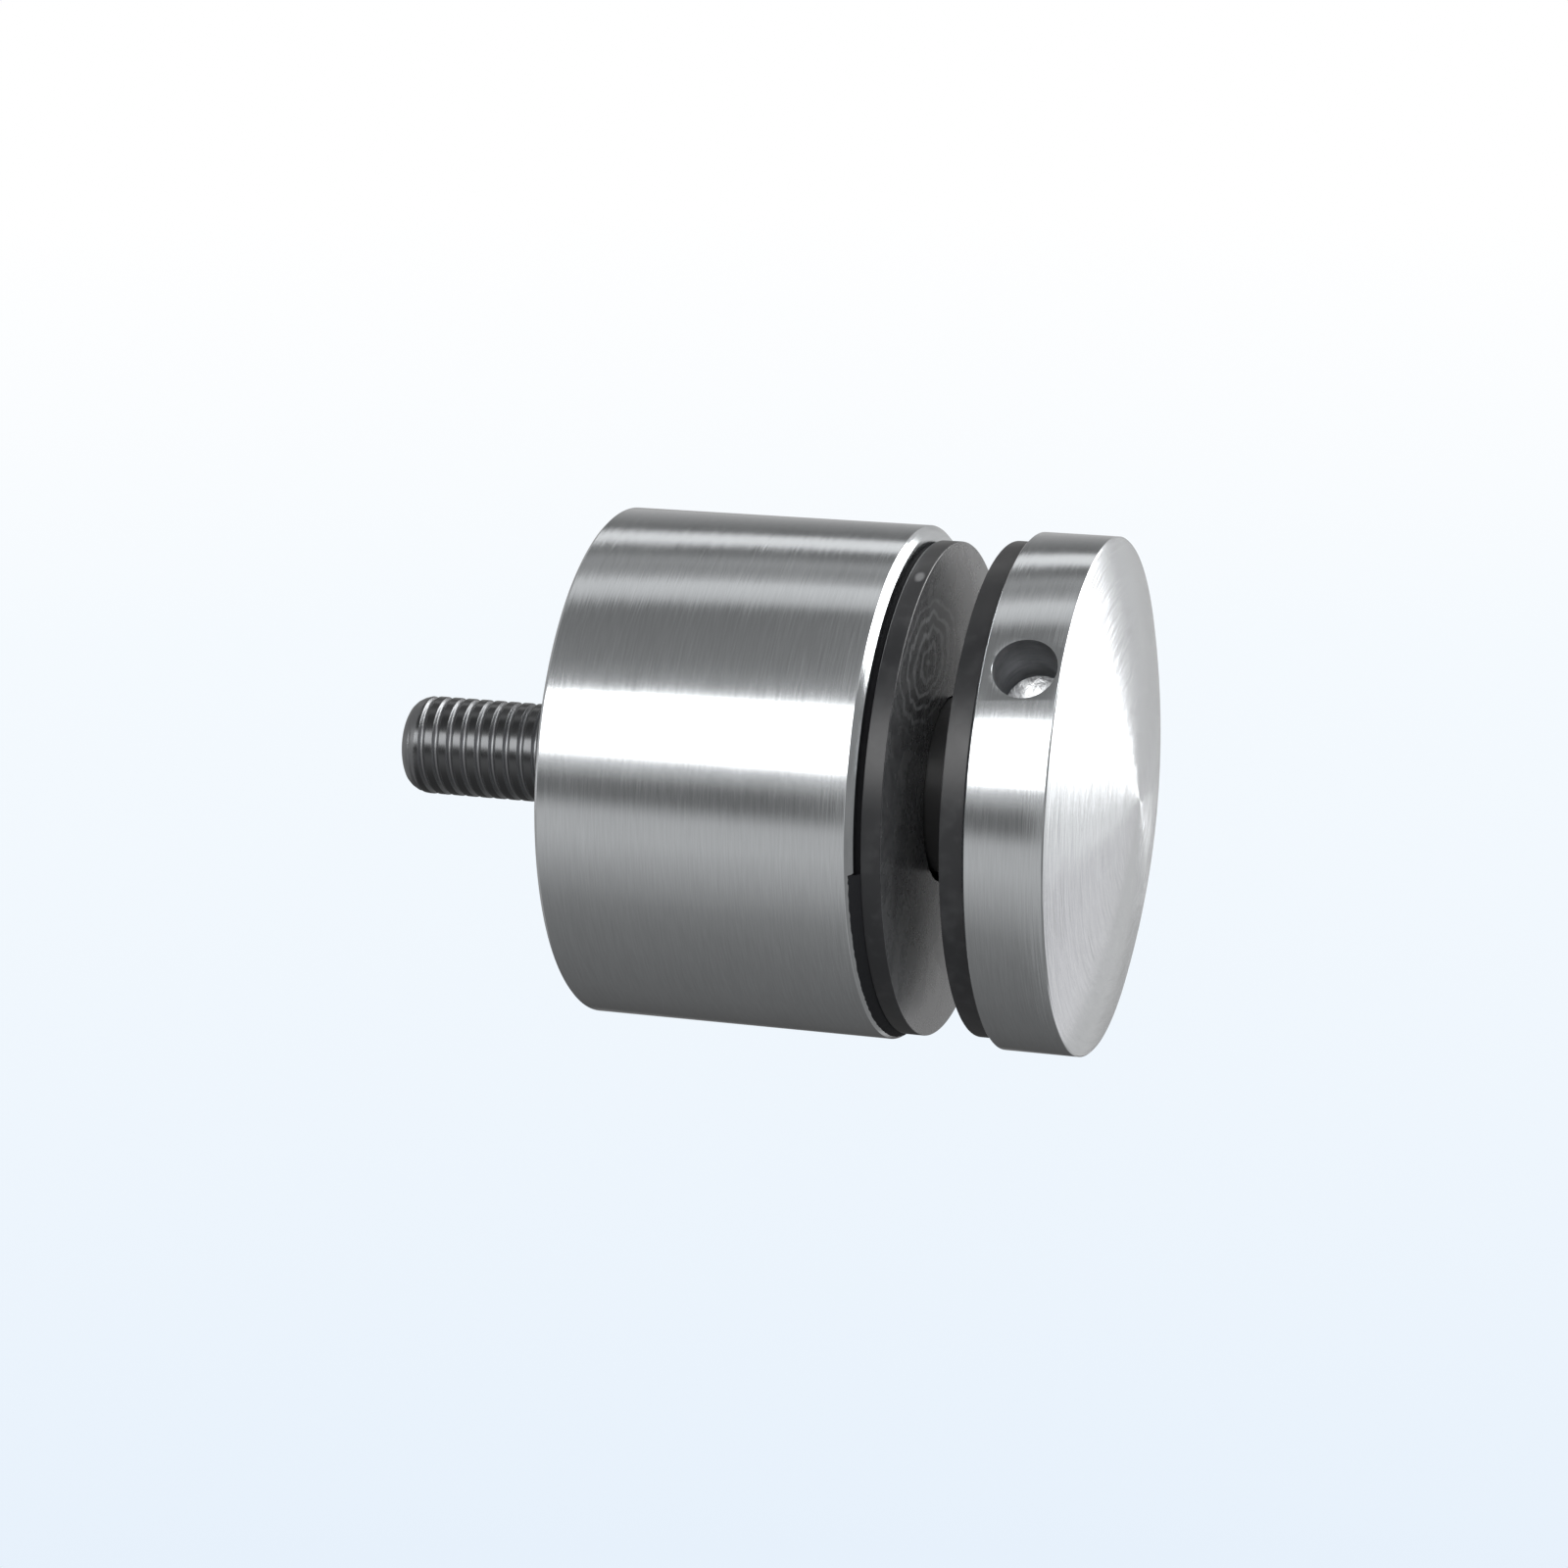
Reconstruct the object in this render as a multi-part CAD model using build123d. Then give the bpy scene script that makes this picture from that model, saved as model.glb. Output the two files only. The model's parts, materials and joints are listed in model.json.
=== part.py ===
# Glass mounting bracket: a round point fixing that holds a glass panel off a wall.
# One stud goes into the wall and the turned body stands on it. The glass sits on a rubber gasket
# against the body, its hole over a sleeve, and a domed cap clamps it through a second gasket.
# The cap turns on its own stud in the body's tapped bore; a pin spanner fits the hole in its rim.
# The fixing's axis is X, from the body's back face at X = 0 towards the cap, with Z up.
# Sizes are in millimetres.

import os
from math import radians, sqrt, tan

from build123d import *

# Thread of both studs, M10 x 1.5: a stud is drawn plain at its outer size, with a plain bore round it
thread_diameter = 9.85
thread_pitch = 1.5
thread_play = 0.05
tap_drill_diameter = 8.5
drill_point_angle = 118.0

# Body
body_diameter = 50.0
body_length = 31.0
body_front_chamfer = 0.7
body_back_chamfer = 0.3

# Wall stud: its reach out of the body's back, its hold in the body, and the relief between its threads
wall_stud_reach = 22.0
wall_stud_hold = 12.0
wall_stud_tip_length = 2.0
wall_stud_tip_depth = 1.4
relief_length = 1.2
stud_end_chamfer = 0.5

# Gaskets, and the gap between them that the glass fills
glass_gap = 5.5
gasket_diameter = 48.0
gasket_thickness = 2.5
gasket_foot = 0.3
gasket_step = 0.35

# Sleeve that the glass's hole goes over, and the play of each ring on what it sits round
sleeve_diameter = 17.0
sleeve_end_chamfer = 0.4
sleeve_play = 0.4
rear_gasket_play = 0.5
rear_gasket_rest = 0.1
front_gasket_play = 0.5

# Cap
cap_diameter = 50.0
cap_rim = 7.5
cap_rise = 3.5
cap_back_chamfer = 0.3
cap_front_chamfer = 0.15
cap_thread_depth = 6.5

# Clamp stud: its hold in the body with the cap closed; its other end is tight in the cap's thread
clamp_stud_hold = 16.0

# Blind hole in the cap's rim for a pin spanner, its angle above the horizontal on the front side
spanner_hole_diameter = 6.1
spanner_hole_depth = 7.0
spanner_hole_angle = 42.0
spanner_hole_from_back = 4.0
spanner_hole_lip = 0.1

# Sizes that follow from those above
stud_radius = thread_diameter / 2
bore_radius = stud_radius + thread_play
relief_radius = tap_drill_diameter / 2 - 0.15
tap_drill_radius = tap_drill_diameter / 2
bore_mouth = thread_pitch / 2
rear_gasket_drop = rear_gasket_play - rear_gasket_rest
rear_gasket_face = body_length + gasket_thickness
front_gasket_face = rear_gasket_face + glass_gap
cap_back = front_gasket_face + gasket_thickness
cap_front = cap_back + cap_rim


def turned(section):
    """Solid that a section in the XY plane makes when it turns about X."""
    return revolve(section, Axis.X)


def outline(*corners):
    """Closed section with straight sides, from its (x, radius) corners."""
    return make_face(Polyline(*corners, close=True))


def drill_point(radius):
    """Depth of the cone that a drill of this radius leaves at the end of a blind hole."""
    return radius / tan(radians(drill_point_angle / 2))


def tapped_hole(mouth, depth, way):
    """Cutter for a tapped hole with a countersunk mouth, running the way (+1 or -1) of X."""
    return turned(
        outline(
            (mouth, 0),
            (mouth, bore_radius + bore_mouth),
            (mouth + way * bore_mouth, bore_radius),
            (mouth + way * depth, bore_radius),
            (mouth + way * depth, 0),
        )
    )


def standoff_body():
    """Turned cylinder, chamfered at both ends, with one tapped bore right through."""
    radius = body_diameter / 2
    blank = turned(
        outline(
            (0, 0),
            (0, radius - body_back_chamfer),
            (body_back_chamfer, radius),
            (body_length - body_front_chamfer, radius),
            (body_length, radius - body_front_chamfer),
            (body_length, 0),
        )
    )
    half = body_length / 2
    return blank - tapped_hole(0, half, 1) - tapped_hole(body_length, half, -1)


def wall_stud():
    """Double-ended stud, its two threads parted by a relief just inside the body's back face."""
    tip = -wall_stud_reach
    end = wall_stud_hold
    step = stud_radius - relief_radius
    return turned(
        outline(
            (tip, 0),
            (tip, stud_radius - wall_stud_tip_depth),
            (tip + wall_stud_tip_length, stud_radius),
            (0, stud_radius),
            (step, relief_radius),
            (step + relief_length, relief_radius),
            (2 * step + relief_length, stud_radius),
            (end - stud_end_chamfer, stud_radius),
            (end, stud_radius - stud_end_chamfer),
            (end, 0),
        )
    )


def clamp_stud():
    """Stud tight against the end of the cap's thread, through the gaskets into the body's bore."""
    start = body_length - clamp_stud_hold
    end = cap_back + cap_thread_depth
    tip = stud_radius - stud_end_chamfer
    return turned(
        outline(
            (start, 0),
            (start, tip),
            (start + stud_end_chamfer, stud_radius),
            (end - stud_end_chamfer, stud_radius),
            (end, tip),
            (end, 0),
        )
    )


def gasket(foot, way, hole_radius):
    """Ring whose stepped foot lies on the metal, with its free face the way (+1 or -1) of X."""
    rim = gasket_diameter / 2
    neck = rim - gasket_step
    step = foot + way * gasket_foot
    face = foot + way * gasket_thickness
    return turned(
        outline(
            (foot, hole_radius),
            (foot, neck),
            (step, neck),
            (step, rim),
            (face, rim),
            (face, hole_radius),
        )
    )


def rear_gasket():
    """Gasket on the body's front face, sitting low because its hole hangs on the sleeve."""
    ring = gasket(body_length, 1, sleeve_diameter / 2 + rear_gasket_play)
    return Pos(0, 0, -rear_gasket_drop) * ring


def front_gasket():
    """Gasket on the cap's back face, round the clamp stud."""
    return gasket(cap_back, -1, stud_radius + front_gasket_play)


def glass_sleeve():
    """Tube round the clamp stud that keeps the glass off the steel, from the body to the front gasket."""
    outer = sleeve_diameter / 2
    inner = stud_radius + sleeve_play
    return turned(
        outline(
            (body_length, inner),
            (body_length, outer),
            (front_gasket_face - sleeve_end_chamfer, outer),
            (front_gasket_face, outer - sleeve_end_chamfer),
            (front_gasket_face, inner),
        )
    )


def cap_blank():
    """Turned cap: straight rim, chamfered at the back, and a shallow spherical dome in front."""
    radius = cap_diameter / 2
    edge = radius - cap_front_chamfer
    apex = cap_front + cap_rise
    ball = (edge**2 + cap_rise**2) / (2 * cap_rise)
    half = edge / 2
    crown = ThreePointArc((cap_front, edge), (apex - ball + sqrt(ball**2 - half**2), half), (apex, 0))
    side = Polyline(
        (apex, 0),
        (cap_back, 0),
        (cap_back, radius - cap_back_chamfer),
        (cap_back + cap_back_chamfer, radius),
        (cap_front - cap_front_chamfer, radius),
        (cap_front, edge),
    )
    return turned(make_face(crown + side))


def cap_thread():
    """Cutter for the blind tapped hole in the cap's back, with its drill point."""
    end = cap_back + cap_thread_depth
    tip = end + drill_point(tap_drill_radius)
    return tapped_hole(cap_back, cap_thread_depth, 1) + turned(
        outline((end, 0), (end, tap_drill_radius), (tip, 0))
    )


def clamp_cap():
    """Domed cap with the thread for its stud and the drilled spanner hole, its lip broken."""
    radius = cap_diameter / 2
    bore = spanner_hole_diameter / 2
    floor = radius - spanner_hole_depth
    drill = revolve(
        outline((0, floor - drill_point(bore)), (bore, floor), (bore, radius + bore), (0, radius + bore)),
        Axis.Y,
    )
    aim = Pos(cap_back + spanner_hole_from_back, 0, 0) * Rot(X=180 - spanner_hole_angle)
    cap = cap_blank() - cap_thread() - aim * drill
    mouth = (aim * Pos(0, radius, 0)).position
    lip = [edge for edge in cap.edges() if (edge.center() - mouth).length < 1.2 * bore]
    return chamfer(lip, spanner_hole_lip)


pieces = {
    "standoff_body": standoff_body,
    "wall_stud": wall_stud,
    "clamp_stud": clamp_stud,
    "rear_gasket": rear_gasket,
    "front_gasket": front_gasket,
    "glass_sleeve": glass_sleeve,
    "clamp_cap": clamp_cap,
}

os.makedirs("parts", exist_ok=True)
for name, make in pieces.items():
    export_step(make(), f"parts/{name}.step")
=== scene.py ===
# Looks of the glass mounting bracket: a turned steel body on a threaded wall stud, two rubber
# gaskets with a black sleeve between them, and a domed cap on its own stud, with a spanner hole.
# Every piece but the stage is modelled round the X axis, in metres.

import json
from math import asin, cos, pi, radians, sin, tan

import bpy
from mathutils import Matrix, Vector

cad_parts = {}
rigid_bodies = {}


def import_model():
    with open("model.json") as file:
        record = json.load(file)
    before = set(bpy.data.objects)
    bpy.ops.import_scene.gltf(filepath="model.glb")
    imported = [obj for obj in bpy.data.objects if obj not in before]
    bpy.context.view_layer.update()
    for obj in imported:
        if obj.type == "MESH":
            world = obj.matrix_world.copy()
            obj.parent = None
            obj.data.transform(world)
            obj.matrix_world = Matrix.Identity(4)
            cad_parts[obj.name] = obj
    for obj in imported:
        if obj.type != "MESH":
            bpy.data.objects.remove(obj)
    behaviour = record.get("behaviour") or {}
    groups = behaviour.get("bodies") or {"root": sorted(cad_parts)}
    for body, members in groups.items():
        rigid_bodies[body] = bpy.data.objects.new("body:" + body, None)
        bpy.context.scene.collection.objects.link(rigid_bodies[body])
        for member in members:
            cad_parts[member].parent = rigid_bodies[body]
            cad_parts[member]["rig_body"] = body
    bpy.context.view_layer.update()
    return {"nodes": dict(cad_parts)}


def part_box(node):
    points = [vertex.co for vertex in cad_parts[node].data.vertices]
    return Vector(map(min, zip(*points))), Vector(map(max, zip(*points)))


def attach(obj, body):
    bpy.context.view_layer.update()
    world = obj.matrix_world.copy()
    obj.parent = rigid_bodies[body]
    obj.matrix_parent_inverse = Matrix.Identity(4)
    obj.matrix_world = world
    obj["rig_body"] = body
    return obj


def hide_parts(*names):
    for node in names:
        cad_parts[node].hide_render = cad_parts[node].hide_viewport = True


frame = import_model()

MM = 0.001

# Corners closer than MERGE_REACH are one corner; a cut takes those closer than CUT_REACH as on its plane
MERGE_REACH = 1e-6
CUT_REACH = 1e-7

# Sizes that the solids give
BODY_BACK, BODY_FRONT = (corner.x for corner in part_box("standoff_body"))
BODY_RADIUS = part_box("standoff_body")[1].z
CAP_BACK, CAP_APEX = (corner.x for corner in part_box("clamp_cap"))
CAP_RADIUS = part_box("clamp_cap")[1].z
WALL_STUD_TIP, WALL_STUD_END = (corner.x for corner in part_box("wall_stud"))
CLAMP_STUD_START, CLAMP_STUD_END = (corner.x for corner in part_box("clamp_stud"))
STUD_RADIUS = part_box("clamp_stud")[1].z
SLEEVE_START, SLEEVE_END = (corner.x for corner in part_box("glass_sleeve"))
SLEEVE_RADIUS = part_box("glass_sleeve")[1].z
REAR_FOOT, REAR_FACE = (corner.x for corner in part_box("rear_gasket"))
FRONT_FACE, FRONT_FOOT = (corner.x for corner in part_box("front_gasket"))
GASKET_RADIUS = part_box("front_gasket")[1].z
REAR_DROP = GASKET_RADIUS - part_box("rear_gasket")[1].z

# Details of the turned pieces
BODY_FRONT_CHAMFER = 0.7 * MM
BODY_BACK_CHAMFER = 0.3 * MM
BORE_RADIUS = STUD_RADIUS + 0.05 * MM
BORE_MOUTH = 0.75 * MM
CAP_RISE = 3.5 * MM
CAP_FRONT = CAP_APEX - CAP_RISE
CAP_BACK_CHAMFER = 0.14 * MM
CAP_FRONT_CHAMFER = 0.15 * MM
DRILL_RADIUS = 4.25 * MM
DRILL_SLOPE = tan(radians(59))
EDGE_BREAK = 0.06 * MM
TURN_STEPS = 288
ROUND_STEPS = 4
DOME_RINGS = 36

# Spanner hole in the cap's rim
HOLE_RADIUS = 3.05 * MM
HOLE_DEPTH = 7.0 * MM
HOLE_ANGLE = radians(42)
HOLE_FROM_BACK = 4.0 * MM
HOLE_LIP_DEPTH = 0.02 * MM
HOLE_STEPS = 96
HOLE_CENTRE = Vector((CAP_BACK + HOLE_FROM_BACK, 0, 0))
HOLE_WAY = Vector((0, -cos(HOLE_ANGLE), sin(HOLE_ANGLE)))

# Thread of the studs
PITCH = 1.5 * MM
THREAD_DEPTH = 0.32 * MM
THREAD_POINTS = 20
CREST_SHARE = 0.48
ROOT_SHARE = 0.06
CREST_PLAY = 0.02 * MM
THREAD_STEPS = 72
SPARE_TURNS = 2
END_RINGS = 7
END_SHRINK = 0.93
END_STEPS = 6
BLANK_STEPS = 144
RELIEF_RADIUS = 4.1 * MM
RELIEF_LENGTH = 1.2 * MM
STUD_TIP_DEPTH = 1.7 * MM
STUD_TIP_LENGTH = 2.4 * MM
STUD_END_ROUND = 0.5 * MM

# Gaskets and sleeve
REAR_FOOT_DEPTH = 0.6 * MM
FRONT_FOOT_DEPTH = 0.3 * MM
GASKET_STEP = 0.5 * MM
GASKET_ROUND = 0.12 * MM
GASKET_SMALL_ROUND = 0.08 * MM
REAR_HOLE_RADIUS = SLEEVE_RADIUS + 0.5 * MM
FRONT_HOLE_RADIUS = STUD_RADIUS + 0.5 * MM
SLEEVE_BORE = STUD_RADIUS + 0.4 * MM
SLEEVE_ROUND = 0.4 * MM

# Flash on the body's chamfer, as angles from the top over the camera's side
FLASH_START = radians(96)
FLASH_SWEEP = radians(130)
FLASH_STEPS = 150
FLASH_RAGGED_FROM = BODY_FRONT - 0.2 * MM
FLASH_RAGGEDNESS = 0.04 * MM

# Marks of the rear gasket's mould: the gate's on its rim, and the centre of the rubber's flow on its face
GATE_MARK = Vector((SLEEVE_START + 1.7 * MM, -8.0 * MM, 22.2 * MM))
FLOW_CENTRE = Vector((REAR_FACE, -7.5 * MM, 14.0 * MM))


# Modelling

def select_only(piece):
    """Makes one piece the active one, with nothing else selected."""
    bpy.ops.object.select_all(action="DESELECT")
    piece.select_set(True)
    bpy.context.view_layer.objects.active = piece


def apply_modifier(piece, kind, **settings):
    """Adds a modifier with these settings and applies it."""
    select_only(piece)
    modifier = piece.modifiers.new(kind.title(), kind)
    for key, value in settings.items():
        setattr(modifier, key, value)
    bpy.ops.object.modifier_apply(modifier=modifier.name)


def draw_profile(name, profile, closed):
    """A line through (x, radius) points, drawn above the X axis and left in edit mode."""
    bpy.ops.object.select_all(action="DESELECT")
    bpy.ops.mesh.primitive_plane_add(size=MM)
    piece = bpy.context.object
    piece.name = name
    bpy.ops.object.mode_set(mode="EDIT")
    bpy.ops.mesh.merge(type="CENTER")
    start_x, start_r = profile[0]
    bpy.ops.transform.translate(value=(start_x, 0, start_r))
    path = profile + [profile[0]] if closed else profile
    for (x, r), (next_x, next_r) in zip(path, path[1:]):
        bpy.ops.mesh.extrude_region_move(TRANSFORM_OT_translate={"value": (next_x - x, 0, next_r - r)})
    return piece


def close_mesh():
    """Merges the doubles of the mesh in edit mode, turns its faces outwards and leaves edit mode."""
    bpy.ops.mesh.select_all(action="SELECT")
    bpy.ops.mesh.remove_doubles(threshold=MERGE_REACH)
    bpy.ops.mesh.normals_make_consistent(inside=False)
    bpy.ops.object.mode_set(mode="OBJECT")


def lathe(name, profile, closed=False, steps=TURN_STEPS):
    """A piece turned round X from its profile, which runs from axis to axis or is closed."""
    piece = draw_profile(name, profile, closed)
    bpy.ops.mesh.select_all(action="SELECT")
    bpy.ops.mesh.spin(steps=steps, angle=2 * pi, center=(0, 0, 0), axis=(1, 0, 0))
    close_mesh()
    return piece


def soften(piece, width, segments=2, angle=25):
    """Rounds the sharp edges of a piece and shades it smooth."""
    apply_modifier(
        piece, "BEVEL", width=width, segments=segments, limit_method="ANGLE", angle_limit=radians(angle),
        use_clamp_overlap=True, miter_outer="MITER_ARC",
    )
    smooth(piece)


def smooth(piece, angle=40):
    """Shades a piece smooth, apart from its sharp edges."""
    select_only(piece)
    bpy.ops.object.shade_smooth_by_angle(angle=radians(angle))


def corner_round(x, r, radius, way):
    """Points of a quarter round at a rim's corner (x, r), entered along X in the direction of way."""
    points = []
    for step in range(ROUND_STEPS + 1):
        turn = step / ROUND_STEPS * pi / 2
        points.append((x - way * radius * (1 - sin(turn)), r - radius * (1 - cos(turn))))
    return points


def cut(piece, cutter):
    """Takes a cutter out of a piece and deletes the cutter."""
    apply_modifier(piece, "BOOLEAN", operation="DIFFERENCE", solver="EXACT", object=cutter)
    bpy.data.objects.remove(cutter)


def turned_body():
    """Body: a long plain side, a wide chamfer in front, and the tapped bore's two mouths."""
    body = lathe(
        "turned_body",
        [
            (BODY_BACK, BORE_RADIUS + BORE_MOUTH),
            (BODY_BACK, BODY_RADIUS - BODY_BACK_CHAMFER),
            (BODY_BACK + BODY_BACK_CHAMFER, BODY_RADIUS),
            (BODY_FRONT - BODY_FRONT_CHAMFER, BODY_RADIUS),
            (BODY_FRONT, BODY_RADIUS - BODY_FRONT_CHAMFER),
            (BODY_FRONT, BORE_RADIUS + BORE_MOUTH),
            (BODY_FRONT - BORE_MOUTH, BORE_RADIUS),
            (BODY_BACK + BORE_MOUTH, BORE_RADIUS),
        ],
        closed=True,
    )
    soften(body, EDGE_BREAK)
    return body


def domed_cap():
    """Cap: rim, spherical dome, the thread's blind hole behind, and the spanner hole in the rim."""
    edge = CAP_RADIUS - CAP_FRONT_CHAMFER
    ball = (edge**2 + CAP_RISE**2) / (2 * CAP_RISE)
    sweep = asin(edge / ball)
    dome = []
    for ring in range(1, DOME_RINGS + 1):
        lean = sweep * (1 - ring / DOME_RINGS)
        dome.append((CAP_APEX - ball * (1 - cos(lean)), ball * sin(lean)))
    cap = lathe(
        "domed_cap",
        [
            (CLAMP_STUD_END + DRILL_RADIUS / DRILL_SLOPE, 0),
            (CLAMP_STUD_END, DRILL_RADIUS),
            (CLAMP_STUD_END, BORE_RADIUS),
            (CAP_BACK + BORE_MOUTH, BORE_RADIUS),
            (CAP_BACK, BORE_RADIUS + BORE_MOUTH),
            (CAP_BACK, CAP_RADIUS - CAP_BACK_CHAMFER),
            (CAP_BACK + CAP_BACK_CHAMFER, CAP_RADIUS),
            (CAP_FRONT - CAP_FRONT_CHAMFER, CAP_RADIUS),
            (CAP_FRONT, edge),
        ]
        + dome,
    )
    cut(cap, spanner_drill())
    soften(cap, EDGE_BREAK)
    return cap


def spanner_drill():
    """The drill that cuts the spanner hole, turned about X and then aimed along the hole."""
    floor = CAP_RADIUS - HOLE_DEPTH
    above = CAP_RADIUS + HOLE_RADIUS
    lip = CAP_RADIUS - HOLE_LIP_DEPTH
    flare = HOLE_LIP_DEPTH * 2
    drill = lathe(
        "spanner_drill",
        [
            (floor - HOLE_RADIUS / DRILL_SLOPE, 0),
            (floor, HOLE_RADIUS),
            (lip, HOLE_RADIUS),
            (lip + flare, HOLE_RADIUS + flare),
            (above, HOLE_RADIUS + flare),
            (above, 0),
        ],
        steps=HOLE_STEPS,
    )
    drill.rotation_euler = Vector((1, 0, 0)).rotation_difference(HOLE_WAY).to_euler()
    drill.location = HOLE_CENTRE
    select_only(drill)
    bpy.ops.object.transform_apply(location=True, rotation=True)
    return drill


def thread(name, start, end):
    """A closed length of thread, cut square at both ends."""
    low = start - SPARE_TURNS * PITCH
    groove = []
    for step in range(THREAD_POINTS + 1):
        rise = abs(2 * step / THREAD_POINTS - 1)
        level = min(1, max(0, (rise - ROOT_SHARE) / (1 - ROOT_SHARE - CREST_SHARE)))
        level = level * level * (3 - 2 * level)
        radius = STUD_RADIUS - CREST_PLAY - THREAD_DEPTH * (1 - level)
        groove.append((low + PITCH * step / THREAD_POINTS, radius))
    rod = draw_profile(name, groove, closed=False)
    bpy.ops.object.mode_set(mode="OBJECT")
    turns = int((end - start) / PITCH) + 2 * SPARE_TURNS
    apply_modifier(
        rod, "SCREW", axis="X", angle=2 * pi, screw_offset=PITCH, iterations=turns, steps=THREAD_STEPS,
        render_steps=THREAD_STEPS, use_smooth_shade=False,
    )
    bpy.ops.object.mode_set(mode="EDIT")
    bpy.ops.mesh.select_all(action="SELECT")
    bpy.ops.mesh.remove_doubles(threshold=MERGE_REACH)
    for place, outwards in ((start, -1), (end, 1)):
        bpy.ops.mesh.select_all(action="SELECT")
        bpy.ops.mesh.bisect(
            plane_co=(place, 0, 0), plane_no=(outwards, 0, 0), use_fill=True, clear_outer=True,
            threshold=CUT_REACH,
        )
        ring_end(rod, place)
    close_mesh()
    return rod


def ring_end(rod, place):
    """Gives the flat end of a rod in edit mode narrower and narrower rings, for it to be rounded."""
    bpy.ops.mesh.select_all(action="DESELECT")
    bpy.ops.object.mode_set(mode="OBJECT")
    vertices = rod.data.vertices
    for face in rod.data.polygons:
        face.select = all(abs(vertices[corner].co.x - place) < MERGE_REACH for corner in face.vertices)
    bpy.ops.object.mode_set(mode="EDIT")
    for _ in range(END_RINGS):
        bpy.ops.mesh.extrude_region_move()
        bpy.ops.transform.resize(value=(1, END_SHRINK, END_SHRINK), center_override=(place, 0, 0))


def threaded_stud(name, envelope):
    """A threaded rod pressed inside the (x, radius) line of its ends, which runs from axis to axis."""
    rod = thread(name, envelope[0][0], envelope[-1][0])
    blank = lathe("stud_blank", envelope, steps=BLANK_STEPS)
    apply_modifier(
        rod, "SHRINKWRAP", target=blank, wrap_method="NEAREST_SURFACEPOINT", wrap_mode="INSIDE"
    )
    bpy.data.objects.remove(blank)
    smooth(rod, angle=50)
    return rod


def stud_end(x, way, length=STUD_END_ROUND, depth=STUD_END_ROUND):
    """The rounded end of a stud, from the axis at x out to the crest; way is +1 or -1, into the stud."""
    points = [(x, 0)]
    for step in range(END_STEPS + 1):
        turn = step / END_STEPS * pi / 2
        points.append((x + way * length * (1 - cos(turn)), STUD_RADIUS - depth * (1 - sin(turn))))
    return points


def wall_stud():
    """Stud for the wall, with the relief between its two threads just inside the body."""
    step = STUD_RADIUS - RELIEF_RADIUS
    relief_end = BODY_BACK + 2 * step + RELIEF_LENGTH
    relief = [
        (BODY_BACK, STUD_RADIUS),
        (BODY_BACK + step, RELIEF_RADIUS),
        (relief_end - step, RELIEF_RADIUS),
        (relief_end, STUD_RADIUS),
    ]
    return threaded_stud(
        "threaded_wall_stud",
        stud_end(WALL_STUD_TIP, 1, STUD_TIP_LENGTH, STUD_TIP_DEPTH)
        + relief
        + stud_end(WALL_STUD_END, -1)[::-1],
    )


def clamp_stud():
    """Stud that the cap clamps with, threaded all along."""
    return threaded_stud(
        "threaded_clamp_stud",
        stud_end(CLAMP_STUD_START, 1) + stud_end(CLAMP_STUD_END, -1)[::-1],
    )


def gasket(name, foot, face, foot_depth, hole_radius, drop=0.0):
    """Moulded rubber ring, stepped in at its foot, rounded at its rim and face."""
    way = 1 if face > foot else -1
    neck = GASKET_RADIUS - GASKET_STEP
    step = foot + way * foot_depth
    small = GASKET_SMALL_ROUND
    ring = lathe(
        name,
        [(foot, hole_radius), (foot, neck), (step - way * small, neck), (step, neck + small)]
        + corner_round(step, GASKET_RADIUS, small, -way)[::-1]
        + corner_round(face, GASKET_RADIUS, GASKET_ROUND, way)
        + [(face, hole_radius + small), (face - way * small, hole_radius)],
        closed=True,
    )
    ring.location.z = -drop
    select_only(ring)
    bpy.ops.object.transform_apply(location=True)
    smooth(ring, angle=30)
    return ring


def rubber_flash():
    """Ragged skin of rubber that has crept from the rear gasket over the body's front chamfer."""
    inner = BODY_RADIUS - BODY_FRONT_CHAMFER
    skin = draw_profile(
        "rubber_flash",
        [
            (BODY_FRONT + REAR_FOOT_DEPTH + 0.05 * MM, inner - 0.35 * MM),
            (BODY_FRONT + 0.3 * MM, inner + 0.05 * MM),
            (BODY_FRONT, inner + 0.16 * MM),
            (BODY_FRONT - 0.36 * MM, inner + 0.44 * MM),
            (BODY_FRONT - 0.46 * MM, inner + 0.43 * MM),
        ],
        closed=False,
    )
    bpy.ops.mesh.select_all(action="SELECT")
    bpy.ops.transform.rotate(value=-FLASH_START, orient_axis="X", center_override=(0, 0, 0))
    bpy.ops.mesh.spin(steps=FLASH_STEPS, angle=FLASH_SWEEP, center=(0, 0, 0), axis=(-1, 0, 0))
    bpy.ops.mesh.select_all(action="DESELECT")
    bpy.ops.object.mode_set(mode="OBJECT")
    for vertex in skin.data.vertices:
        vertex.select = vertex.co.x < FLASH_RAGGED_FROM
    bpy.ops.object.mode_set(mode="EDIT")
    bpy.ops.transform.vertex_random(offset=FLASH_RAGGEDNESS, uniform=1.0, seed=5)
    close_mesh()
    smooth(skin, angle=60)
    return skin


def panel_sleeve():
    """Black tube that the panel's hole goes over."""
    sleeve = lathe(
        "panel_sleeve",
        [(SLEEVE_START, SLEEVE_BORE), (SLEEVE_START, SLEEVE_RADIUS)]
        + corner_round(SLEEVE_END, SLEEVE_RADIUS, SLEEVE_ROUND, 1)
        + [(SLEEVE_END, SLEEVE_BORE)],
        closed=True,
    )
    smooth(sleeve, angle=30)
    return sleeve


# Materials

X_AXIS = Vector((1, 0, 0))
ORIGIN = Vector((0, 0, 0))


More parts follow.
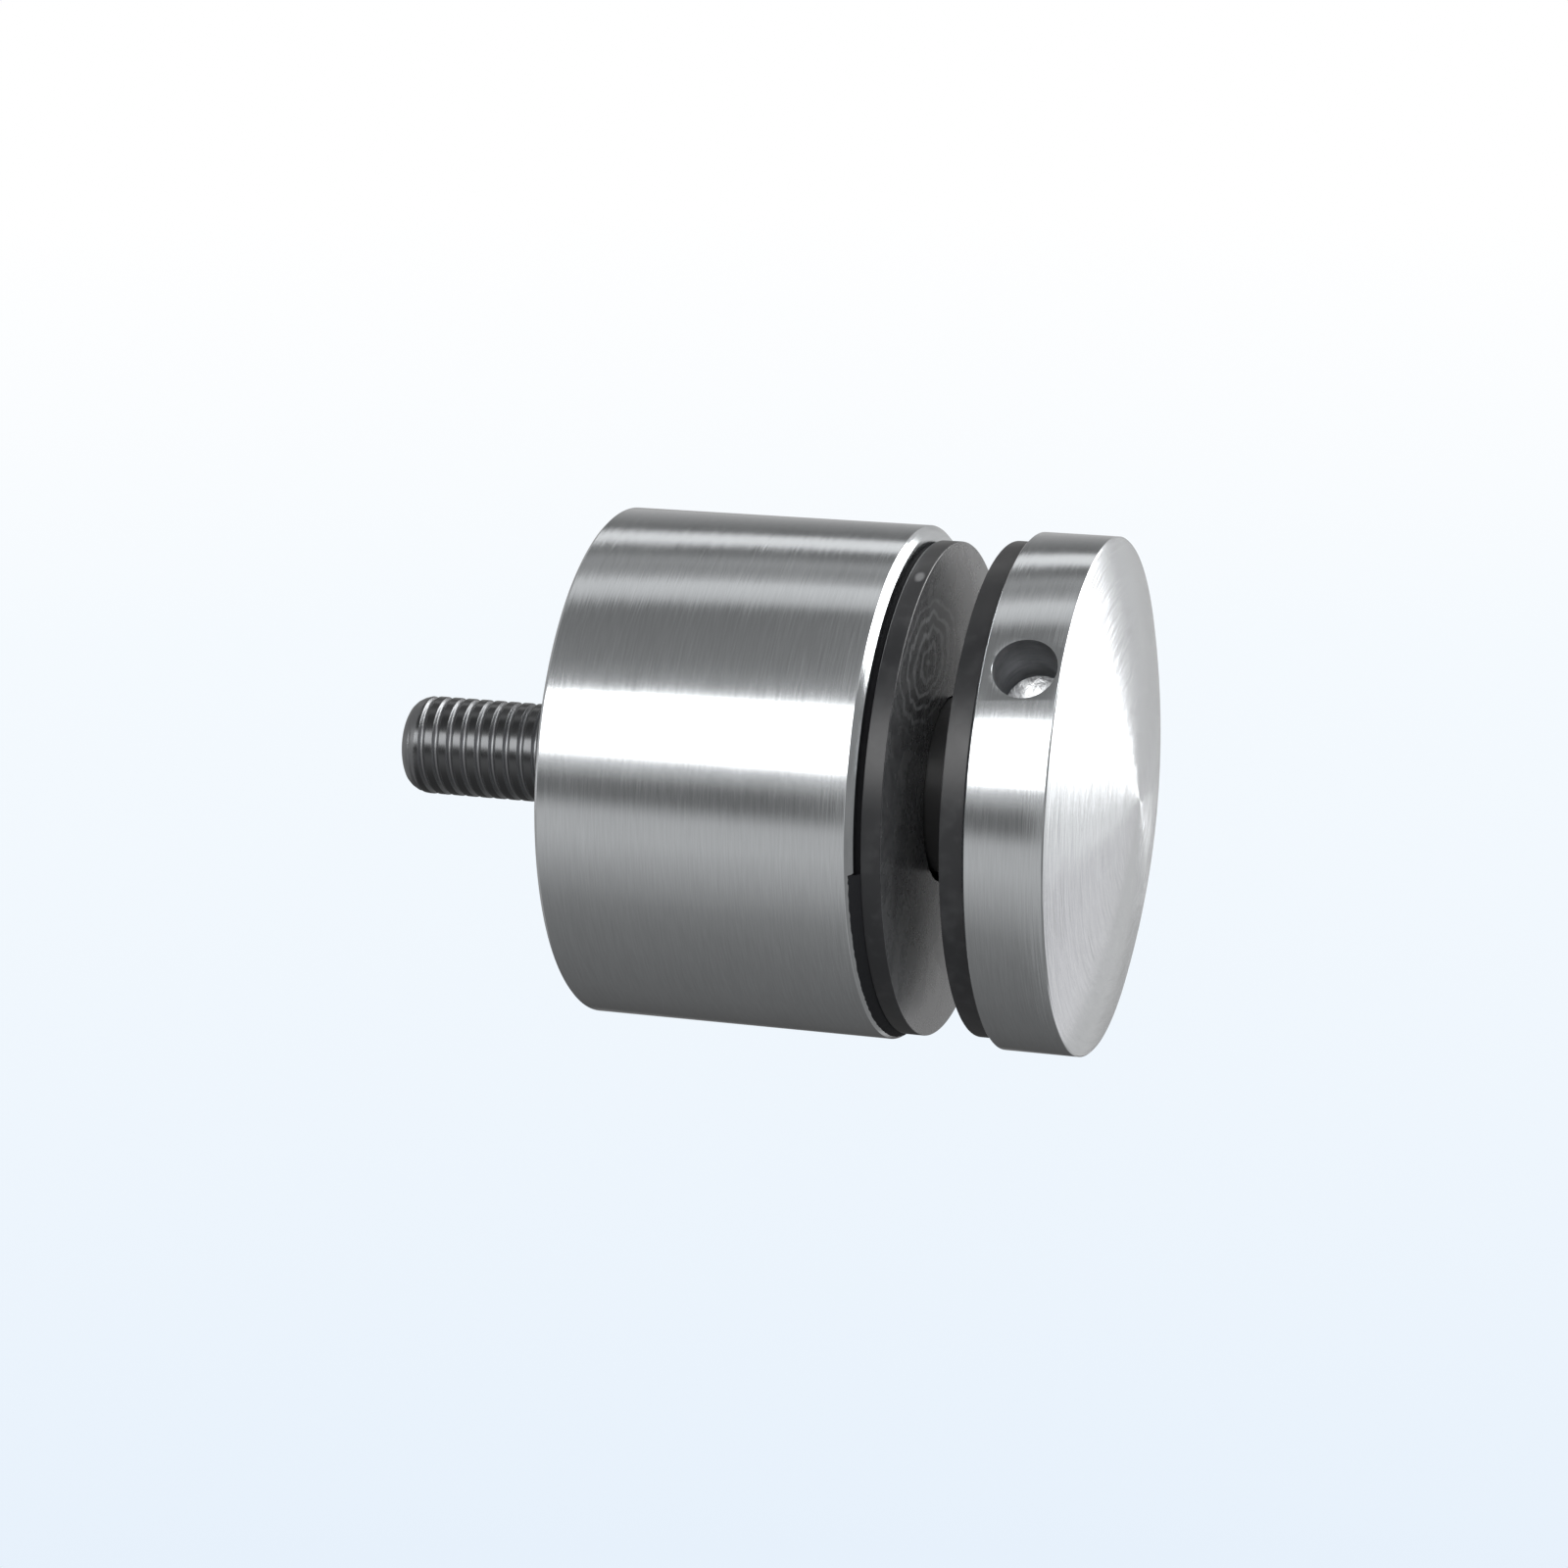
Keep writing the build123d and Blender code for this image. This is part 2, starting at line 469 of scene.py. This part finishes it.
class Number:
    """A number that varies over a surface: arithmetic on it adds Math nodes."""

    def __init__(self, finish, socket):
        self.finish = finish
        self.socket = socket

    def math(self, operation, *values):
        inputs = dict(enumerate((self, *values)))
        node = self.finish.node("ShaderNodeMath", {"operation": operation}, inputs)
        return Number(self.finish, node.outputs[0])

    def flipped(self, operation, value):
        node = self.finish.node("ShaderNodeMath", {"operation": operation}, {0: value, 1: self})
        return Number(self.finish, node.outputs[0])

    def __add__(self, value):
        return self.math("ADD", value)

    def __radd__(self, value):
        return self.flipped("ADD", value)

    def __sub__(self, value):
        return self.math("SUBTRACT", value)

    def __rsub__(self, value):
        return self.flipped("SUBTRACT", value)

    def __mul__(self, value):
        return self.math("MULTIPLY", value)

    def __rmul__(self, value):
        return self.flipped("MULTIPLY", value)

    def __truediv__(self, value):
        return self.math("DIVIDE", value)

    def __rtruediv__(self, value):
        return self.flipped("DIVIDE", value)

    def clamped(self, low, high):
        return self.math("MAXIMUM", low).math("MINIMUM", high)

    def ramp(self, low, high):
        """0 below low, 1 above high, and smooth between them."""
        node = self.finish.node(
            "ShaderNodeMapRange",
            {"interpolation_type": "SMOOTHSTEP"},
            {0: self, 1: low, 2: high, 3: 0, 4: 1},
        )
        return Number(self.finish, node.outputs[0])


class Finish:
    """The shader nodes of a material, or of the world."""

    def __init__(self, owner):
        owner.use_nodes = True
        self.owner = owner
        self.tree = owner.node_tree
        self.tree.nodes.clear()

    def node(self, kind, settings, inputs):
        """A node with its settings, then the values or links of its sockets."""
        node = self.tree.nodes.new(kind)
        stops = settings.get("stops")
        for key, value in settings.items():
            if key != "stops":
                setattr(node, key, value)
        if stops:
            elements = node.color_ramp.elements
            while len(elements) < len(stops):
                elements.new(0.5)
            for element, (position, colour) in zip(elements, stops):
                element.position = position
                element.color = colour
        for key, value in inputs.items():
            if isinstance(value, Number):
                value = value.socket
            if isinstance(value, bpy.types.NodeSocket):
                self.tree.links.new(value, node.inputs[key])
            else:
                node.inputs[key].default_value = value
        return node

    def vector(self, operation, *values):
        """The result of a Vector Math node, as a vector."""
        node = self.node("ShaderNodeVectorMath", {"operation": operation}, dict(enumerate(values)))
        return node.outputs["Vector"]

    def measure(self, operation, *values):
        """The result of a Vector Math node, as a number."""
        node = self.node("ShaderNodeVectorMath", {"operation": operation}, dict(enumerate(values)))
        return Number(self, node.outputs["Value"])

    def scaled(self, vector, factor):
        """A vector times a number."""
        node = self.node("ShaderNodeVectorMath", {"operation": "SCALE"}, {0: vector, "Scale": factor})
        return node.outputs["Vector"]

    def place(self):
        """Where a point is on the object."""
        return self.node("ShaderNodeTexCoord", {}, {}).outputs["Object"]

    def noise(self, vector, scale, detail=2.0, roughness=0.5, distortion=0.0):
        """Noise about 0, mostly between -0.25 and 0.25."""
        node = self.node(
            "ShaderNodeTexNoise",
            {},
            {"Vector": vector, "Scale": scale, "Detail": detail, "Roughness": roughness,
             "Distortion": distortion},
        )
        return Number(self, node.outputs["Fac"]) - 0.5

    def blend(self, factor, first, second):
        """A colour between two colours."""
        node = self.node(
            "ShaderNodeMix", {"data_type": "RGBA"}, {"Factor": factor, 6: first, 7: second}
        )
        return node.outputs[2]

    def output(self, shader):
        """Sends a shader node to the surface and returns the material."""
        self.node("ShaderNodeOutputMaterial", {}, {"Surface": shader.outputs[0]})
        return self.owner

    def glow(self, colour, strength):
        """A node that gives off light of its own."""
        return self.node("ShaderNodeEmission", {}, {"Color": colour, "Strength": strength})


def new_finish(name):
    """The nodes of a new material."""
    return Finish(bpy.data.materials.new(name))


def turned_steel(name, tint, axis=X_AXIS, centre=ORIGIN, spread=0.3, gloss=0.15, rings=0.0):
    """Steel with the fine grooves that turning or grinding leaves round an axis.

    The grooves lean the surface's normal to and fro across them, which draws each reflection out
    along the axis on a rim and along the radius on a face.
    """
    steel = new_finish(name)
    arm = steel.vector("SUBTRACT", steel.place(), tuple(centre))
    along = steel.measure("DOT_PRODUCT", arm, tuple(axis))
    spoke = steel.vector("SUBTRACT", arm, steel.scaled(tuple(axis), along))
    radius = steel.measure("LENGTH", spoke)
    around = steel.vector("NORMALIZE", steel.vector("CROSS_PRODUCT", tuple(axis), arm))
    bearing = steel.vector("NORMALIZE", spoke)
    across = along + radius * 1.37

    def grooves(pitch, arc, detail=2.0):
        """Noise in streaks one pitch wide, whose length is an arc in radians."""
        lanes = steel.scaled(tuple(axis), across / pitch)
        return steel.noise(steel.vector("ADD", lanes, steel.scaled(bearing, 1 / arc)), 1.0, detail)

    hair = grooves(0.013 * MM, 0.5, 1.0)
    scratch = grooves(0.13 * MM, 0.12)
    lay = grooves(1.8 * MM, 0.9)
    cloud = steel.noise(steel.place(), 160.0, 3.0)
    marks = grooves(0.5 * MM, 0.6) * rings
    lean = hair * (1.5 * spread) + scratch * 0.02 + marks

    normal = steel.node("ShaderNodeTexCoord", {}, {}).outputs["Normal"]
    sideways = steel.vector("CROSS_PRODUCT", around, normal)
    bent = steel.vector("NORMALIZE", steel.vector("ADD", normal, steel.scaled(sideways, lean)))
    world = steel.node(
        "ShaderNodeVectorTransform",
        {"vector_type": "NORMAL", "convert_from": "OBJECT", "convert_to": "WORLD"},
        {"Vector": bent},
    )

    tone = 1 + scratch * 0.2 + lay * 0.04 + cloud * 0.06 + marks * 3
    principled = steel.node(
        "ShaderNodeBsdfPrincipled",
        {},
        {
            "Base Color": steel.scaled(tint, tone),
            "Metallic": 1.0,
            "Roughness": (gloss + scratch * 0.08 + cloud * 0.04).clamped(0.08, 0.6),
            "Normal": world.outputs[0],
        },
    )
    return steel.output(principled)


def thread_steel(name, crest_shade_tint, groove_highlight_tint):
    """Rolled thread: dull crests painted dark as painted shade, with grooves painted lighter between them
    as painted highlights.
    """
    steel = new_finish(name)
    spot = steel.node("ShaderNodeSeparateXYZ", {}, {0: steel.place()})
    side, up = Number(steel, spot.outputs["Y"]), Number(steel, spot.outputs["Z"])
    radius = (side * side + up * up).math("SQRT")
    speckle = steel.noise(steel.place(), 900.0, 3.0)
    # Painted shade and highlight: the crest mask darkens the crests and leaves the grooves lighter,
    # standing in for the thread's dark reflections and light flank lines
    crest = (radius + speckle * (0.01 * MM)).ramp(STUD_RADIUS - 0.09 * MM, STUD_RADIUS - 0.035 * MM)
    principled = steel.node(
        "ShaderNodeBsdfPrincipled",
        {},
        {
            "Base Color": steel.blend(crest, groove_highlight_tint, crest_shade_tint),
            "Metallic": 1.0,
            "Roughness": (0.36 - crest * 0.13 + speckle * 0.15).clamped(0.12, 0.6),
        },
    )
    return steel.output(principled)


def drilled_floor(name, tint):
    """The rough bright cone that a drill's point leaves."""
    steel = new_finish(name)
    ripple = steel.noise(steel.place(), 1300.0, 4.0, 0.7, 0.8)
    bump = steel.node(
        "ShaderNodeBump", {}, {"Strength": 0.8, "Distance": 0.1 * MM, "Height": ripple}
    )
    principled = steel.node(
        "ShaderNodeBsdfPrincipled",
        {},
        {
            "Base Color": steel.scaled(tint, 1 + ripple * 3.2),
            "Metallic": 1.0,
            "Roughness": 0.3,
            "Normal": bump.outputs[0],
        },
    )
    return steel.output(principled)


def rubber(name, tint, smear_and_shading, sheen=0.36, face_sheen=0.27):
    """Moulded rubber: a mottled skin, glossier on its faces, where it is also blended towards the second
    colour as painted light on the gaskets and painted shade on the sleeve, with the marks of its flow in
    the mould.
    """
    skin = new_finish(name)
    place = skin.place()
    mottle = skin.noise(place, 800.0, 2.0, 0.5, 0.3)
    blotch = skin.noise(place, 260.0, 3.0, 0.55, 0.8)
    normal = skin.node("ShaderNodeTexCoord", {}, {}).outputs["Normal"]
    facing = skin.node("ShaderNodeSeparateXYZ", {}, {0: normal}).outputs["X"]
    flat = Number(skin, facing).math("ABSOLUTE").ramp(0.6, 0.95)

    from_flow = skin.vector("SUBTRACT", place, tuple(FLOW_CENTRE))
    reach = skin.measure("LENGTH", skin.vector("MULTIPLY", from_flow, (0, 0.55, 1)))
    reach = reach + skin.noise(place, 300.0, 2.0) * (2.2 * MM)
    rings = (reach * (2 * pi / (1.25 * MM))).math("SINE").ramp(0.1, 1.0)
    flow = rings * (1 - reach.ramp(3.5 * MM, 7.5 * MM))

    from_gate = skin.vector("SUBTRACT", place, tuple(GATE_MARK))
    gate_reach = skin.measure("LENGTH", skin.vector("MULTIPLY", from_gate, (1, 0.5, 0.5)))
    gate = 1 - (gate_reach + mottle * (0.3 * MM)).ramp(0.25 * MM, 0.55 * MM)

    # Painted light: the 0.33 lift on the flat faces stands in for light reaching the gaskets' faces; the
    # flow rings, mottle and blotches on top are the skin's own marks
    dust_and_shading = (flow * (0.6 + mottle) + mottle * 0.1 + blotch * 0.35 + 0.33).clamped(0, 1)
    smear_and_shading_amount = (flat * dust_and_shading + gate * 0.5 + mottle * 0.1 + blotch * 0.12).clamped(0, 1)
    dullness = sheen + flat * (face_sheen - sheen) + mottle * 0.05 + blotch * 0.2
    bump = skin.node(
        "ShaderNodeBump",
        {},
        {"Strength": 0.05, "Distance": 0.05 * MM, "Height": blotch * 0.6 + flow},
    )
    principled = skin.node(
        "ShaderNodeBsdfPrincipled",
        {},
        {
            "Base Color": skin.blend(smear_and_shading_amount, tint, smear_and_shading),
            "Roughness": dullness.clamped(0.12, 0.8),
            "Normal": bump.outputs[0],
        },
    )
    return skin.output(principled)


def plain_rubber(name, tint):
    """Dull black rubber, as on a gasket's foot, where its darker colour is painted shade in the gap
    beside the metal, and in the flash.
    """
    skin = new_finish(name)
    grit = skin.noise(skin.place(), 1500.0, 2.0)
    principled = skin.node(
        "ShaderNodeBsdfPrincipled",
        {},
        {
            "Base Color": tint,
            "Roughness": (0.85 + grit * 0.3).clamped(0.6, 1),
            "Specular IOR Level": 0.15,
        },
    )
    return skin.output(principled)


def wear(piece, *materials):
    """Gives a piece its materials, in order."""
    piece.data.materials.clear()
    for material in materials:
        piece.data.materials.append(material)


def mark_cap_faces(cap):
    """Gives the dome with its edge, the hole's wall and its floor the cap's other three materials."""
    for face in cap.data.polygons:
        arm = face.center - HOLE_CENTRE
        reach = arm.dot(HOLE_WAY)
        in_hole = reach > 0 and (arm - HOLE_WAY * reach).length < HOLE_RADIUS * 1.001
        below_rim = reach < CAP_RADIUS - HOLE_LIP_DEPTH
        if in_hole and below_rim and reach > CAP_RADIUS - 1.5 * HOLE_DEPTH:
            face.material_index = 2 if reach > CAP_RADIUS - HOLE_DEPTH else 3
        elif face.center.x > CAP_FRONT - CAP_FRONT_CHAMFER:
            face.material_index = 1


def mark_foot(ring, foot, depth):
    """Gives the stepped foot of a gasket its second material, which paints the shade in the gap beside
    the metal.
    """
    for face in ring.data.polygons:
        if abs(face.center.x - foot) < depth:
            face.material_index = 1


# Pieces

STEEL = (0.585, 0.605, 0.62)
# Painted shade: darker steel for the wall inside the spanner hole
HOLE_SHADE_STEEL = (0.235, 0.24, 0.25)
# Thread colours: painted shade on the crests, painted highlight in the grooves
CREST_SHADE = (0.095, 0.097, 0.1, 1)
GROOVE_HIGHLIGHT = (0.2, 0.204, 0.21, 1)
BLACK_RUBBER = (0.010, 0.0105, 0.012, 1)
# Colour the gaskets' faces are lifted towards: painted light, together with their smears
RUBBER_SMEAR_AND_LIGHT = (0.26, 0.264, 0.27, 1)
# Painted shade: near-black for the gaskets' feet, also the colour the sleeve's faces are darkened towards
FOOT_SHADE_BLACK = (0.004, 0.004, 0.005, 1)
BLACK_PLASTIC = (0.008, 0.008, 0.009, 1)
DRILLED_STEEL = (0.6, 0.61, 0.62)

body = turned_body()
cap = domed_cap()
stud_for_wall = wall_stud()
stud_of_cap = clamp_stud()
rear = gasket("rear_rubber", REAR_FOOT, REAR_FACE, REAR_FOOT_DEPTH, REAR_HOLE_RADIUS, REAR_DROP)
front = gasket("front_rubber", FRONT_FOOT, FRONT_FACE, FRONT_FOOT_DEPTH, FRONT_HOLE_RADIUS)
flash = rubber_flash()
sleeve = panel_sleeve()

ground_rim = turned_steel("ground_rim", STEEL)
ground_dome = turned_steel("ground_dome", STEEL, spread=1.2, gloss=0.18)
# The spanner hole's wall is steel painted dark: painted shade inside the hole
drilled_wall = turned_steel("drilled_wall", HOLE_SHADE_STEEL, HOLE_WAY, HOLE_CENTRE, 0.3, 0.5, rings=0.25)
hole_floor = drilled_floor("drilled_floor", DRILLED_STEEL)
threads = thread_steel("thread_steel", CREST_SHADE, GROOVE_HIGHLIGHT)
gasket_rubber = rubber("gasket_rubber", BLACK_RUBBER, RUBBER_SMEAR_AND_LIGHT)
shaded_foot_rubber = plain_rubber("shaded_foot_rubber", FOOT_SHADE_BLACK)
flash_rubber = plain_rubber("flash_rubber", BLACK_RUBBER)
sleeve_plastic = rubber("sleeve_plastic", BLACK_PLASTIC, FOOT_SHADE_BLACK, sheen=0.5)

wear(body, ground_rim)
wear(cap, ground_rim, ground_dome, drilled_wall, hole_floor)
mark_cap_faces(cap)
wear(stud_for_wall, threads)
wear(stud_of_cap, threads)
for ring, foot, depth in ((rear, REAR_FOOT, REAR_FOOT_DEPTH), (front, FRONT_FOOT, FRONT_FOOT_DEPTH)):
    wear(ring, gasket_rubber, shaded_foot_rubber)
    mark_foot(ring, foot, depth)
wear(sleeve, sleeve_plastic)
wear(flash, flash_rubber)

for piece, node in (
    (body, "standoff_body"),
    (stud_for_wall, "wall_stud"),
    (rear, "rear_gasket"),
    (flash, "rear_gasket"),
    (sleeve, "glass_sleeve"),
    (front, "front_gasket"),
    (cap, "clamp_cap"),
    (stud_of_cap, "clamp_stud"),
):
    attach(piece, frame["nodes"][node]["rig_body"])
    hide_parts(node)


# Stage

FLOOR_DROP = 0.8
FLOOR_RADIUS = 60.0
TENT_RADIUS = 0.7
TENT_BACK, TENT_FRONT = -3.0, 0.3
HORIZON_WHITE = (1.0, 1.0, 1.0, 1)
MIDDLE_WHITE = (0.91, 0.955, 0.995, 1)
NEAR_BLUE = (0.80, 0.88, 0.97, 1)
FLOOR_IN_GLOSS = (0.95, 0.93, 0.95, 1)

# How bright the tent is at each angle round the object: 0 is level on the camera's side, 90 above
TENT_BANDS = (
    (-180, 0.50),
    (-168, 0.44),
    (-154, 0.26),
    (-146, 0.09),
    (-128, 0.13),
    (-111, 0.165),
    (-86, 0.20),
    (-66, 0.235),
    (-52, 0.285),
    (-40, 0.40),
    (-31, 0.50),
    (-20, 0.62),
    (-9, 0.61),
    (-2, 0.18),
    (5, 0.17),
    (12, 0.60),
    (46, 0.80),
    (50, 0.40),
    (60, 0.27),
    (90, 0.22),
    (94, 0.72),
    (104, 0.95),
    (107, 0.50),
    (113, 0.33),
    (119, 0.46),
    (125, 0.20),
    (131, 0.20),
    (133, 1.15),
    (142, 1.15),
    (145, 0.14),
    (168, 0.40),
    (180, 0.52),
)
TENT_END_LEVEL = 0.60
TENT_DEEP_LEVEL = 0.45
TENT_STRENGTH = 2.0

# Panel and card at the cap's side: each corner is an angle round from +X towards +Y and one above level
SIDE_PANEL_CORNERS = ((-20, -2), (60, -17), (50, 8), (66, 22), (50, 62), (-20, 62))
SIDE_PANEL_DISTANCE = 0.75
SIDE_PANEL_STRENGTH = 8.0
SIDE_PANEL_LOW_LEVEL = 0.12
SIDE_PANEL_SLOPE = 0.36
LOW_CARD_CORNERS = ((-60, -70), (80, -70), (76, -40), (20, -40), (4, -9), (18, 25), (-6, 45), (-60, 45))
LOW_CARD_DISTANCE = SIDE_PANEL_DISTANCE * 0.98
LOW_CARD_LEVEL = 0.28

# Area lamp over the camera's side, and how bright the world's even light is beside its white
SOFTBOX_ANGLE = radians(30.8)
SOFTBOX_DISTANCE = 0.62
SOFTBOX_LENGTH = 1.3
SOFTBOX_WIDTH = 0.305
SOFTBOX_POWER = 4.6
SKY_LIGHT = 0.65


def grey(level):
    """A colour without a hue."""
    return (level, level, level, 1)


def camera_sees(finish):
    """1 on rays from the camera, off metal and through glass, 0 on the rays that light the object."""
    path = finish.node("ShaderNodeLightPath", {}, {})
    seen = Number(finish, path.outputs["Is Camera Ray"])
    seen = seen.math("MAXIMUM", Number(finish, path.outputs["Is Glossy Ray"]))
    return seen.math("MAXIMUM", Number(finish, path.outputs["Is Transmission Ray"]))


def pale_floor():
    """Round floor, well below the part, that pales from light blue near it to white far off."""
    bpy.ops.object.select_all(action="DESELECT")
    bpy.ops.mesh.primitive_circle_add(
        vertices=96, radius=FLOOR_RADIUS, fill_type="NGON", location=(0, 0, -FLOOR_DROP)
    )
    floor = bpy.context.object
    floor.name = "floor"
    paint = new_finish("floor_paint")
    where = paint.place()
    near = 1.5 / paint.measure("LENGTH", where).math("MAXIMUM", 0.2)
    shade = paint.node(
        "ShaderNodeValToRGB",
        {"stops": ((0.22, HORIZON_WHITE), (0.42, MIDDLE_WHITE), (1.0, NEAR_BLUE))},
        {"Fac": near},
    ).outputs["Color"]
    from_camera = paint.node("ShaderNodeLightPath", {}, {}).outputs["Is Camera Ray"]
    tinted = paint.blend(Number(paint, from_camera), FLOOR_IN_GLOSS, shade)
    glow = paint.glow(tinted, 1.0)
    matt = paint.node("ShaderNodeBsdfDiffuse", {}, {"Color": (0.8, 0.83, 0.86, 1)})
    mixed = paint.node(
        "ShaderNodeMixShader", {}, {0: camera_sees(paint), 1: matt.outputs[0], 2: glow.outputs[0]}
    )
    wear(floor, paint.output(mixed))


def light_tent():
    """Long tube of cloth panels round the part, which only its gloss sees."""
    bpy.ops.object.select_all(action="DESELECT")
    bpy.ops.mesh.primitive_cylinder_add(
        vertices=128, radius=TENT_RADIUS, depth=TENT_FRONT - TENT_BACK, end_fill_type="NOTHING",
        location=((TENT_FRONT + TENT_BACK) / 2, 0, 0), rotation=(0, pi / 2, 0),
    )
    tent = bpy.context.object
    tent.name = "light_tent"
    bpy.ops.object.transform_apply(location=True, rotation=True)
    cloth = new_finish("tent_cloth")
    spot = cloth.node("ShaderNodeSeparateXYZ", {}, {0: cloth.place()})
    up = Number(cloth, spot.outputs["Z"])
    ahead = Number(cloth, spot.outputs["Y"]) * -1
    turn = up.math("ARCTAN2", ahead) / (2 * pi) + 0.5
    stops = []
    for angle, level in TENT_BANDS:
        stops.append((angle / 360 + 0.5, grey(level / TENT_STRENGTH)))
    band = cloth.node("ShaderNodeValToRGB", {"stops": stops}, {"Fac": turn}).outputs["Color"]
    along = Number(cloth, spot.outputs["X"])
    band = cloth.blend(along.ramp(0.0, 0.12), band, grey(TENT_END_LEVEL / TENT_STRENGTH))
    band = cloth.blend(along.ramp(-0.8, -0.5), grey(TENT_DEEP_LEVEL / TENT_STRENGTH), band)
    wear(tent, cloth.output(cloth.glow(band, TENT_STRENGTH)))
    gloss_only(tent)


def gloss_only(piece):
    """Lets only the part's gloss see a piece of the stage."""
    piece.visible_camera = False
    piece.visible_diffuse = False
    piece.visible_shadow = False
    piece.visible_transmission = False


def sky_card(name, corners, distance):
    """Card at a distance from the part, whose corners are angles as in the values above."""
    bpy.ops.object.select_all(action="DESELECT")
    bpy.ops.mesh.primitive_circle_add(vertices=len(corners), radius=distance, fill_type="NGON")
    card = bpy.context.object
    card.name = name
    for vertex, corner in zip(card.data.vertices, corners):
        azimuth, elevation = (radians(angle) for angle in corner)
        level = cos(elevation)
        vertex.co = Vector((level * cos(azimuth), level * sin(azimuth), sin(elevation))) * distance
    return card


def side_panel():
    """Bright panel on the cap's side, whose outline shapes the wedge of light on the dome."""
    panel = sky_card("side_panel", SIDE_PANEL_CORNERS, SIDE_PANEL_DISTANCE)
    cloth = new_finish("panel_cloth")
    spot = cloth.node("ShaderNodeSeparateXYZ", {}, {0: cloth.place()})
    height = Number(cloth, spot.outputs["Z"]) + Number(cloth, spot.outputs["Y"]) * SIDE_PANEL_SLOPE
    level = (height / SIDE_PANEL_DISTANCE).ramp(0.0, 0.2)
    shade = cloth.blend(level, grey(SIDE_PANEL_LOW_LEVEL), grey(1))
    wear(panel, cloth.output(cloth.glow(shade, SIDE_PANEL_STRENGTH)))
    gloss_only(panel)


def low_card():
    """Dark card at the cap's side, which greys the body's front chamfer but for its top."""
    card = sky_card("low_card", LOW_CARD_CORNERS, LOW_CARD_DISTANCE)
    cloth = new_finish("card_cloth")
    wear(card, cloth.output(cloth.glow(grey(1), LOW_CARD_LEVEL)))
    gloss_only(card)


def front_softbox():
    """Area lamp along X, at an angle over the camera's side, that faces the part."""
    bpy.ops.object.light_add(type="AREA")
    lamp = bpy.context.object
    lamp.name = "front_softbox"
    lamp.data.shape = "RECTANGLE"
    lamp.data.size = SOFTBOX_LENGTH
    lamp.data.size_y = SOFTBOX_WIDTH
    lamp.data.energy = SOFTBOX_POWER
    lamp.location = Vector((0, -cos(SOFTBOX_ANGLE), sin(SOFTBOX_ANGLE))) * SOFTBOX_DISTANCE
    lamp.rotation_euler = (pi / 2 - SOFTBOX_ANGLE, 0, 0)
    lamp.visible_camera = False


def studio_world():
    """White to the camera and to gloss, and a soft even light for the rest."""
    world = bpy.data.worlds.new("studio")
    bpy.context.scene.world = world
    sky = Finish(world)
    background = sky.node(
        "ShaderNodeBackground",
        {},
        {"Color": grey(1), "Strength": camera_sees(sky) * (1 - SKY_LIGHT) + SKY_LIGHT},
    )
    sky.node("ShaderNodeOutputWorld", {}, {"Surface": background.outputs[0]})


# Camera

CAMERA_AZIMUTH = radians(17.04)
CAMERA_ELEVATION = radians(15.0)
CAMERA_DISTANCE = 404.4 * MM
CAMERA_LENS = 95.0
CAMERA_SENSOR = 36.0
AIM_X = 22.0 * MM
AIM_RIGHT = -4.86 * MM
AIM_UP = -0.783 * MM


def photograph_camera():
    """Camera at the photograph's place, looking slightly down from the front right."""
    right = Vector((cos(CAMERA_AZIMUTH), sin(CAMERA_AZIMUTH), 0))
    back = Vector(
        (
            sin(CAMERA_AZIMUTH) * cos(CAMERA_ELEVATION),
            -cos(CAMERA_AZIMUTH) * cos(CAMERA_ELEVATION),
            sin(CAMERA_ELEVATION),
        )
    )
    up = back.cross(right)
    aim = Vector((AIM_X, 0, 0)) + right * AIM_RIGHT + up * AIM_UP
    bpy.ops.object.camera_add(location=aim + back * CAMERA_DISTANCE)
    camera = bpy.context.object
    camera.rotation_euler = back.to_track_quat("Z", "Y").to_euler()
    camera.data.lens = CAMERA_LENS
    camera.data.sensor_width = CAMERA_SENSOR
    camera.data.clip_start = 0.01
    camera.data.clip_end = 200.0
    bpy.context.scene.camera = camera


pale_floor()
light_tent()
side_panel()
low_card()
front_softbox()
studio_world()
photograph_camera()
bpy.context.scene.view_settings.view_transform = "Standard"
